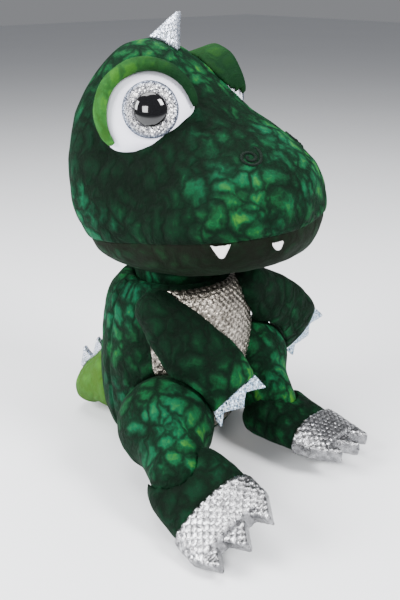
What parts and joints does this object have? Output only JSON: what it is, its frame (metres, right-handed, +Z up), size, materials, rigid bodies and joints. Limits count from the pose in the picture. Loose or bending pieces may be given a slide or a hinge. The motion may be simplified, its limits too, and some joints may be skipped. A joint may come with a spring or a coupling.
{
  "type": "plush dinosaur",
  "caption": "Seated soft toy dinosaur: stuffed cloth covers, big padded eyes, metallic belly and toe caps, and a neck, shoulders, hips, ankles and tail that bend.",
  "frame": {"origin": "centre line of the toy on its flat seat, under the torso", "axes": "+Z up, -Y the way the body faces, +X the toy's left"},
  "size_m": [0.2021, 0.217, 0.2727],
  "materials": {
    "green_plush": "short mottled pile",
    "lid_plush": "short pile, yellow-green",
    "jaw_plush": "short dark pile",
    "metallic_cloth": "embossed metallic scale cloth",
    "glitter_cloth": "silver-blue glitter cloth",
    "white_cloth": "smooth white cloth",
    "felt": "white felt",
    "glitter_iris": "silver glitter",
    "pupil_plastic": "black, gloss",
    "inner_plastic": "moulded plastic",
    "thread": "dark embroidery thread",
    "stuffing": "polyester fibre fill",
    "pellets": "cloth bag of plastic pellets"
  },
  "bodies": {
    "torso": {"torso_cover": "green_plush", "belly_panel": "metallic_cloth", "torso_stuffing": "stuffing", "pellet_bag": "pellets", "back_spines": "glitter_cloth"},
    "neck": {"neck_cover": "green_plush", "neck_stuffing": "stuffing"},
    "head": {"head_cover": "green_plush", "jaw_cover": "jaw_plush", "head_stuffing": "stuffing", "head_spines": "glitter_cloth", "right_eye_white": "white_cloth", "right_iris": "glitter_iris", "right_pupil": "pupil_plastic", "right_eye_shank": "inner_plastic", "right_eye_washer": "inner_plastic", "right_eyelid": "lid_plush", "right_nostril": "thread", "right_teeth": "felt", "left_eye_white": "white_cloth", "left_iris": "glitter_iris", "left_pupil": "pupil_plastic", "left_eye_shank": "inner_plastic", "left_eye_washer": "inner_plastic", "left_eyelid": "lid_plush", "left_nostril": "thread", "left_teeth": "felt"},
    "right_arm": {"right_arm_cover": "green_plush", "right_arm_stuffing": "stuffing", "right_hand_claws": "glitter_cloth"},
    "left_arm": {"left_arm_cover": "green_plush", "left_arm_stuffing": "stuffing", "left_hand_claws": "glitter_cloth"},
    "right_leg": {"right_leg_cover": "green_plush", "right_leg_stuffing": "stuffing"},
    "left_leg": {"left_leg_cover": "green_plush", "left_leg_stuffing": "stuffing"},
    "right_foot": {"right_foot_cover": "green_plush", "right_foot_stuffing": "stuffing", "right_toe_cap": "metallic_cloth"},
    "left_foot": {"left_foot_cover": "green_plush", "left_foot_stuffing": "stuffing", "left_toe_cap": "metallic_cloth"},
    "tail": {"tail_cover": "green_plush", "tail_stuffing": "stuffing", "tail_spines": "glitter_cloth"}
  },
  "joints": [
    {"name": "neck_turn", "type": "hinge", "parent": "torso", "child": "neck", "pos_m": [0, 0.004, 0.118], "axis": [0, 0, 1], "range_deg": [-20, 20], "stiffness_Nm_per_rad": 1.2},
    {"name": "neck_nod", "type": "hinge", "parent": "neck", "child": "head", "pos_m": [0, 0.004, 0.118], "axis": [0.9272, 0.3746, 0], "range_deg": [-8, 5], "stiffness_Nm_per_rad": 2},
    {"name": "right_shoulder_swing", "type": "hinge", "parent": "torso", "child": "right_arm", "pos_m": [-0.039, -0.025, 0.103], "axis": [1, 0, 0], "range_deg": [-30, 0], "stiffness_Nm_per_rad": 0.25},
    {"name": "left_shoulder_lift", "type": "hinge", "parent": "torso", "child": "left_arm", "pos_m": [0.039, -0.025, 0.103], "axis": [0, 1, 0], "range_deg": [-30, 0], "stiffness_Nm_per_rad": 0.25},
    {"name": "right_hip_swing", "type": "hinge", "parent": "torso", "child": "right_leg", "pos_m": [-0.046, -0.04, 0.035], "axis": [1, 0, 0], "range_deg": [-20, 0], "stiffness_Nm_per_rad": 1},
    {"name": "left_hip_swing", "type": "hinge", "parent": "torso", "child": "left_leg", "pos_m": [0.042, -0.02, 0.046], "axis": [1, 0, 0], "range_deg": [-20, 0], "stiffness_Nm_per_rad": 1},
    {"name": "right_ankle_lean", "type": "hinge", "parent": "right_leg", "child": "right_foot", "pos_m": [-0.067, -0.076, 0.028], "axis": [-0.2079, -0.9781, 0], "range_deg": [-6, 6], "stiffness_Nm_per_rad": 0.4},
    {"name": "left_ankle_lean", "type": "hinge", "parent": "left_leg", "child": "left_foot", "pos_m": [0.036, -0.052, 0.026], "axis": [0.2079, -0.9781, 0], "range_deg": [-5, 5], "stiffness_Nm_per_rad": 0.4},
    {"name": "tail_wag", "type": "hinge", "parent": "torso", "child": "tail", "pos_m": [-0.0197, 0.0411, 0.029], "axis": [0, 0, 1], "range_deg": [-20, 20], "stiffness_Nm_per_rad": 0.5}
  ]
}
